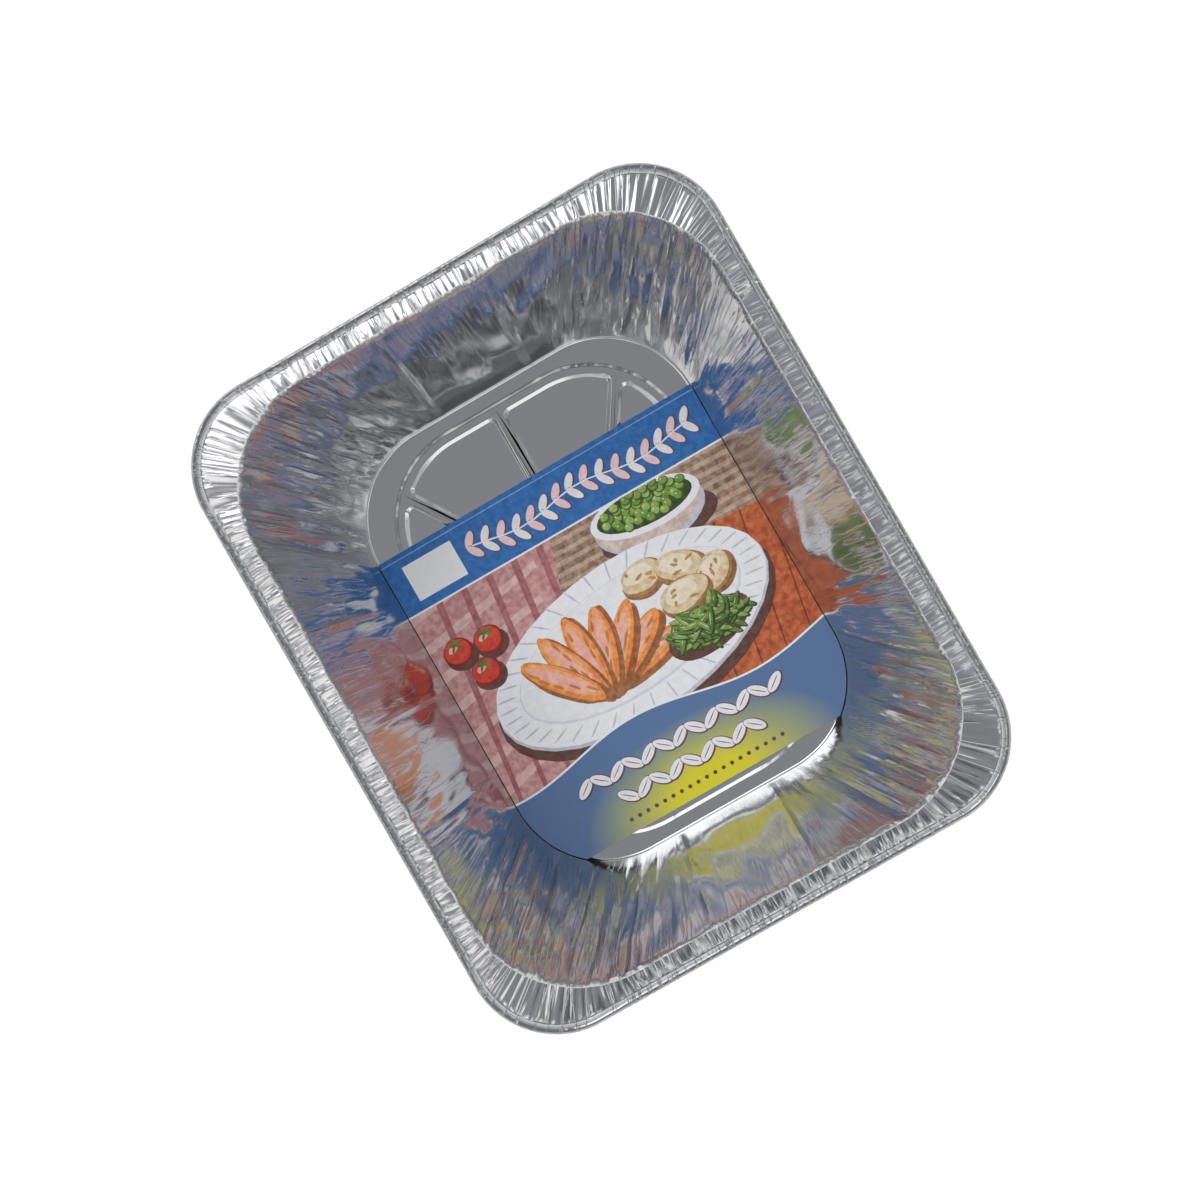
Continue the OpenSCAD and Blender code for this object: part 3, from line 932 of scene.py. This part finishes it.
# Lower band under a waved edge, with two rows of leaves and a row of small dots
past_foot = -120
wave = [(x, -66 + 5 * math.sin(0.045 * x + 2.4)) for x in range(-past, past + 1, 3)]
lay("china", [(x, y + 1.1) for x, y in wave] + [(past, past_foot), (-past, past_foot)])
lay("lower_band", wave + [(past, past_foot), (-past, past_foot)])
for row, (y, x_from, x_to) in enumerate(((-81, -58, 60), (-95, -40, 42))):
    for number, x in enumerate(np.arange(x_from, x_to, 9.4)):
        tilt = 38 if (number + row) % 2 == 0 else -38
        blob("outline", x + 0.3, y - 0.3, 6.6, 3.3, tilt, 0, 24)
        blob("petal", x, y, 6.0, 2.7, tilt, 0, 24)
        blob("outline", x, y, 4.4, 0.25, tilt, 0, 8)
for x in np.arange(-45, 48, 5):
    blob("outline", x, -106.5, 1.1, 1.1, 0, 0, 12)

# Upper band over a thin pale line, with a garland of leaves, a rule and a blank field
past_head = 80
strip("china", 41.2, past_head)
strip("upper_band", 42.2, past_head)
strip("rule", 71.2, 71.8)
garland = []
for number, x in enumerate(np.arange(-46, 84, 8.6)):
    y = 56.5 + 2.5 * math.sin(x * 0.09)
    for tilt in (52, -52):
        away = 3.4 if tilt > 0 else -3.4
        blob("outline", x + 0.3, y + away - 0.3, 5.4, 2.6, tilt, 0, 24)
        blob("petal_pink" if number % 2 == 0 else "petal", x, y + away, 4.9, 2.1, tilt, 0, 24)
    garland.append((x, y))
lay("petal", [(x, y + 0.4) for x, y in garland] + [(x, y - 0.4) for x, y in garland[::-1]])
lay("field", [(-84, 47), (-55, 47), (-55, 67), (-84, 67)])

# The board is cut along all outlines of the print, and each piece takes the ink that lies on top
flat_points, outlines = [], []
for ink, points in print_layers:
    outlines.append(list(range(len(flat_points), len(flat_points) + len(points))))
    flat_points.extend(points)
cut_closeness = 0.02
cut_points, _, cut_faces, _, _, cut_from = delaunay_2d_cdt(flat_points, [], outlines, 1, cut_closeness)
board_faces, board_inks = [], []
ink_names = sorted({ink for ink, _ in print_layers})
for face, layers in zip(cut_faces, cut_from):
    if 0 in layers:
        board_faces.append(tuple(face))
        board_inks.append(ink_names.index(print_layers[max(layers)][0]))
used = sorted({v for face in board_faces for v in face})
renumber = {v: n for n, v in enumerate(used)}
board_faces = [tuple(renumber[v] for v in face) for face in board_faces]
count = len(used)
# The board bows up towards both of its straight edges, and most at the corners of the upper one
end_bow = 0.35
end_reach = 100
corner_bow = 0.25
corner_reach = (90, 75)


def bow(x, y):
    at_head = corner_bow * (x / corner_reach[0]) ** 2 * max(0, y / corner_reach[1])
    return end_bow * (y / end_reach) ** 2 + at_head


top = [(cut_points[v].x, cut_points[v].y) for v in used]
board_points = [(x, y, card_over + bow(x, y)) for x, y in top]
board_points += [(x, y, card_under + bow(x, y)) for x, y in top]
edges = dict.fromkeys((a, b) for face in board_faces for a, b in zip(face, face[1:] + face[:1]))
rim_edges = [edge for edge in edges if edge[::-1] not in edges]
back_faces = [tuple(v + count for v in face[::-1]) for face in board_faces]
side_faces = [(b, a, a + count, b + count) for a, b in rim_edges]
card_mesh = bpy.data.meshes.new("printed_card")
card_faces = board_faces + back_faces + side_faces
card_mesh.from_pydata((np.array(board_points) / 1000).tolist(), [], card_faces)
card = bpy.data.objects.new("printed_card", card_mesh)
bpy.context.scene.collection.objects.link(card)

# Inks, each from a darker to a lighter tone as the screen of the print varies. The lower band's
# turns yellow towards the middle of its lower edge instead.
ink_tones = {
    "wood": ((0.40, 0.07, 0.02), (0.66, 0.17, 0.05)),
    "wood_dark": ((0.16, 0.03, 0.01), (0.30, 0.07, 0.02)),
    "boards": ((0.20, 0.11, 0.07), (0.46, 0.31, 0.21)),
    "boards_light": ((0.42, 0.28, 0.20), (0.62, 0.45, 0.34)),
    "cloth": ((0.50, 0.21, 0.21), (0.68, 0.38, 0.36)),
    "cloth_light": ((0.66, 0.40, 0.38), (0.78, 0.54, 0.50)),
    "cloth_dark": ((0.34, 0.10, 0.11), (0.46, 0.18, 0.18)),
    "shadow": ((0.10, 0.04, 0.03), (0.16, 0.07, 0.05)),
    "gravy": ((0.24, 0.09, 0.03), (0.42, 0.20, 0.08)),
    "china": ((0.84, 0.85, 0.88), (0.90, 0.90, 0.92)),
    "china_shade": ((0.50, 0.52, 0.60), (0.62, 0.64, 0.70)),
    "china_dim": ((0.66, 0.68, 0.74), (0.74, 0.75, 0.80)),
    "china_light": ((0.80, 0.81, 0.84), (0.88, 0.88, 0.88)),
    "bowl": ((0.56, 0.42, 0.36), (0.76, 0.64, 0.58)),
    "pea": ((0.12, 0.28, 0.03), (0.22, 0.40, 0.06)),
    "pea_warm": ((0.20, 0.32, 0.04), (0.32, 0.46, 0.08)),
    "pea_light": ((0.24, 0.42, 0.08), (0.38, 0.56, 0.14)),
    "pea_dark": ((0.04, 0.09, 0.01), (0.08, 0.14, 0.02)),
    "pea_shine": ((0.50, 0.62, 0.30), (0.62, 0.72, 0.40)),
    "carrot": ((0.76, 0.20, 0.04), (0.90, 0.38, 0.10)),
    "carrot_dark": ((0.34, 0.08, 0.01), (0.52, 0.14, 0.03)),
    "carrot_light": ((0.84, 0.32, 0.12), (0.94, 0.50, 0.24)),
    "carrot_heart": ((0.84, 0.38, 0.30), (0.92, 0.52, 0.44)),
    "carrot_brown": ((0.50, 0.16, 0.03), (0.66, 0.26, 0.06)),
    "potato": ((0.66, 0.48, 0.26), (0.84, 0.70, 0.48)),
    "potato_dark": ((0.30, 0.16, 0.05), (0.48, 0.28, 0.10)),
    "potato_light": ((0.82, 0.70, 0.50), (0.90, 0.82, 0.68)),
    "potato_brown": ((0.44, 0.22, 0.07), (0.60, 0.34, 0.12)),
    "leaf": ((0.07, 0.16, 0.02), (0.14, 0.26, 0.05)),
    "leaf_warm": ((0.14, 0.22, 0.03), (0.24, 0.34, 0.07)),
    "leaf_light": ((0.20, 0.32, 0.06), (0.34, 0.46, 0.12)),
    "leaf_dark": ((0.02, 0.05, 0.01), (0.05, 0.09, 0.02)),
    "tomato": ((0.58, 0.03, 0.015), (0.74, 0.07, 0.03)),
    "tomato_dark": ((0.22, 0.01, 0.01), (0.36, 0.02, 0.01)),
    "tomato_light": ((0.86, 0.40, 0.32), (0.92, 0.56, 0.48)),
    "outline": ((0.10, 0.04, 0.06), (0.16, 0.07, 0.10)),
    "petal": ((0.84, 0.82, 0.84), (0.90, 0.88, 0.90)),
    "petal_pink": ((0.84, 0.60, 0.64), (0.90, 0.70, 0.72)),
    "upper_band": ((0.014, 0.13, 0.41), (0.03, 0.19, 0.53)),
    "rule": ((0.16, 0.34, 0.66), (0.24, 0.42, 0.72)),
    "field": ((0.86, 0.87, 0.88), (0.90, 0.90, 0.90)),
}
band_tones = {0.3: (0.74, 0.68, 0.02), 0.68: (0.36, 0.40, 0.20), 1: (0.10, 0.19, 0.37)}
for name in ink_names:
    ink, tree, shader = new_finish("ink_" + name)
    shader.inputs["Coat Weight"].default_value = 0.2
    shader.inputs["Coat Roughness"].default_value = 0.2
    shader.inputs["Roughness"].default_value = 0.45
    place = tree.nodes.new("ShaderNodeTexCoord").outputs["Object"]
    if name == "lower_band":
        spot = tree.nodes.new("ShaderNodeMapping")
        spot.vector_type = "TEXTURE"
        spot.inputs["Location"].default_value = (0.002, -0.113, 0)
        spot.inputs["Scale"].default_value = (0.074, 0.040, 1000)
        tree.links.new(place, spot.inputs["Vector"])
        far = tree.nodes.new("ShaderNodeVectorMath")
        far.operation = "LENGTH"
        tree.links.new(spot.outputs["Vector"], far.inputs[0])
        colour = toned(tree, far.outputs["Value"], band_tones)
    else:
        dark, light = ink_tones[name]
        colour = toned(tree, noise(tree, place, scale=320, detail=5), {0.36: dark, 0.64: light})
    tree.links.new(colour, shader.inputs["Base Color"])
    card_mesh.materials.append(ink)
board, tree, shader = new_finish("board_back")
place = tree.nodes.new("ShaderNodeTexCoord").outputs["Generated"]
board_tones = {0: (0.62, 0.60, 0.56), 1: (0.74, 0.72, 0.68)}
fibres = toned(tree, noise(tree, place, scale=900, detail=2), board_tones)
tree.links.new(fibres, shader.inputs["Base Color"])
shader.inputs["Roughness"].default_value = 0.75
card_mesh.materials.append(board)
plain = [len(ink_names)] * (len(back_faces) + len(side_faces))
card_mesh.polygons.foreach_set("material_index", board_inks + plain)
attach(card, "root")
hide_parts("label_card")

# Table: a wide matt white top under the pan, which stands out on it by its own light and shade. It
# looks lit from within where it is seen straight on, and much less so where the foil mirrors it.
table_reach = 4
table_drop = 0.0005
straight_share = 0.8
mirrored_share = 0.2
table_corners = [(x * table_reach, y * table_reach, -table_drop)
                 for x, y in ((-1, -1), (1, -1), (1, 1), (-1, 1))]
table_mesh = bpy.data.meshes.new("table_top")
table_mesh.from_pydata(table_corners, [], [(0, 1, 2, 3)])
table = bpy.data.objects.new("table_top", table_mesh)
bpy.context.scene.collection.objects.link(table)


# Shows the first shading or the second, by a share from 0 to 1
def mixed(tree, share, first, second, output):
    step = tree.nodes.new("ShaderNodeMixShader")
    for value, socket in zip((share, first, second), step.inputs):
        tree.links.new(value, socket)
    tree.links.new(step.outputs["Shader"], tree.nodes[output].inputs["Surface"])


table_finish, tree, shader = new_finish("table_finish")
shader.inputs["Base Color"].default_value = (0.88, 0.88, 0.88, 1)
shader.inputs["Roughness"].default_value = 0.8
glow = tree.nodes.new("ShaderNodeEmission")
glow.inputs["Strength"].default_value = 1.06
seen = tree.nodes.new("ShaderNodeLightPath").outputs
in_foil = reckoned(tree, "MULTIPLY", seen["Is Glossy Ray"], mirrored_share)
glow_share = reckoned(tree, "MULTIPLY_ADD", seen["Is Camera Ray"], straight_share, in_foil)
mixed(tree, glow_share, shader.outputs["BSDF"], glow.outputs["Emission"], "Material Output")
table_mesh.materials.append(table_finish)
table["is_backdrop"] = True

# Room: a soft grey studio that is white low down, where the table runs on to its walls. One broad
# light stands beyond the pan's far end, and another before its near end under a dark patch. Smaller
# ones at the sides give the glints in the corner folds.
studio = bpy.data.worlds.new("studio")
bpy.context.scene.world = studio
studio.use_nodes = True
tree = studio.node_tree
back = tree.nodes["Background"]
way = tree.nodes.new("ShaderNodeTexCoord").outputs["Generated"]
height = tree.nodes.new("ShaderNodeSeparateXYZ")
tree.links.new(way, height.inputs["Vector"])
# The walls are white up to the first of these heights and grey from the second, straight up being 1
white_up_to = 0.42
grey_from = 0.7
sweep = carried(tree, height.outputs["Z"], white_up_to, grey_from, ease="SMOOTHSTEP")
room = tree.nodes.new("ShaderNodeMix")
room.data_type = "RGBA"
room.inputs["A"].default_value = (1, 1, 1, 1)
room.inputs["B"].default_value = (0.31, 0.315, 0.33, 1)
tree.links.new(sweep, room.inputs["Factor"])
shade = room.outputs["Result"]

# Round lights over it, each towards x, y and tilted from straight up. A light is full within its
# narrow angle and gone beyond its wide one, all in degrees.
room_lights = (
    (0.0, -1.0, 60, 12, 18, (1.3, 1.28, 1.26)),
    (0.0, -1.0, 36, 5, 12, (0.1, 0.105, 0.115)),
    (0.8, -0.6, 50, 3, 9, (1.3, 1.3, 1.32)),
    (1.0, -0.35, 41, 2, 7, (1.6, 1.6, 1.62)),
    (0.35, -1.0, 43, 2, 6, (1.6, 1.6, 1.62)),
    (1.0, 0.0, 36, 6, 16, (0.40, 0.42, 0.47)),
    (-1.0, 0.1, 38, 8, 16, (1.4, 1.37, 1.33)),
    (-0.75, -0.65, 42, 2, 7, (1.5, 1.5, 1.52)),
    (-0.3, 1.0, 46, 8, 25, (2.6, 2.6, 2.6)),
)
for x, y, tilt, narrow, wide, colour in room_lights:
    tilt, narrow, wide = (math.radians(angle) for angle in (tilt, narrow, wide))
    side = Vector((x, y, 0)).normalized() * math.sin(tilt)
    towards = tree.nodes.new("ShaderNodeVectorMath")
    towards.operation = "DOT_PRODUCT"
    towards.inputs[1].default_value = (side.x, side.y, math.cos(tilt))
    tree.links.new(way, towards.inputs[0])
    spread = carried(tree, towards.outputs["Value"], math.cos(wide), math.cos(narrow), ease="SMOOTHSTEP")
    mix = tree.nodes.new("ShaderNodeMix")
    mix.data_type = "RGBA"
    mix.inputs["B"].default_value = (*colour, 1)
    tree.links.new(spread, mix.inputs["Factor"])
    tree.links.new(shade, mix.inputs["A"])
    shade = mix.outputs["Result"]
tree.links.new(shade, back.inputs["Color"])
# Matt surfaces get a fuller light than the foil mirrors
matt_gain = 0.6
seen = tree.nodes.new("ShaderNodeLightPath").outputs
gain = reckoned(tree, "MULTIPLY_ADD", seen["Is Glossy Ray"], -matt_gain, 1 + matt_gain)
tree.links.new(gain, back.inputs["Strength"])
white = tree.nodes.new("ShaderNodeBackground")
white.inputs["Color"].default_value = (1, 1, 1, 1)
shadings = (back.outputs["Background"], white.outputs["Background"])
mixed(tree, seen["Is Camera Ray"], *shadings, "World Output")

# Camera: held above the pan and turned, so that the pan lies askew in the frame. Its place is in
# metres, and its three directions are those of the picture's right, its foot and its depth.
camera_place = Vector((0.02122, -0.00862, 0.65732))
camera_right = Vector((0.86564, -0.49921, -0.03817))
camera_down = Vector((-0.49938, -0.86636, 0.00559))
camera_ahead = Vector((-0.03587, 0.01422, -0.99926))
focal_pixels = 1260.3
frame_pixels = 1200
lens = bpy.data.cameras.new("camera")
sensor_width = 36
lens.sensor_width = sensor_width
lens.lens = sensor_width * focal_pixels / frame_pixels
lens.clip_start = 0.01
camera = bpy.data.objects.new("camera", lens)
bpy.context.scene.collection.objects.link(camera)
turned = Matrix((camera_right, -camera_down, -camera_ahead)).transposed().to_4x4()
turned.translation = camera_place
camera.matrix_world = turned
bpy.context.scene.camera = camera
bpy.context.scene.view_settings.view_transform = "Standard"

size = {"frame": [list(corner) for corner in frame_box], "visual": [list(corner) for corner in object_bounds()]}
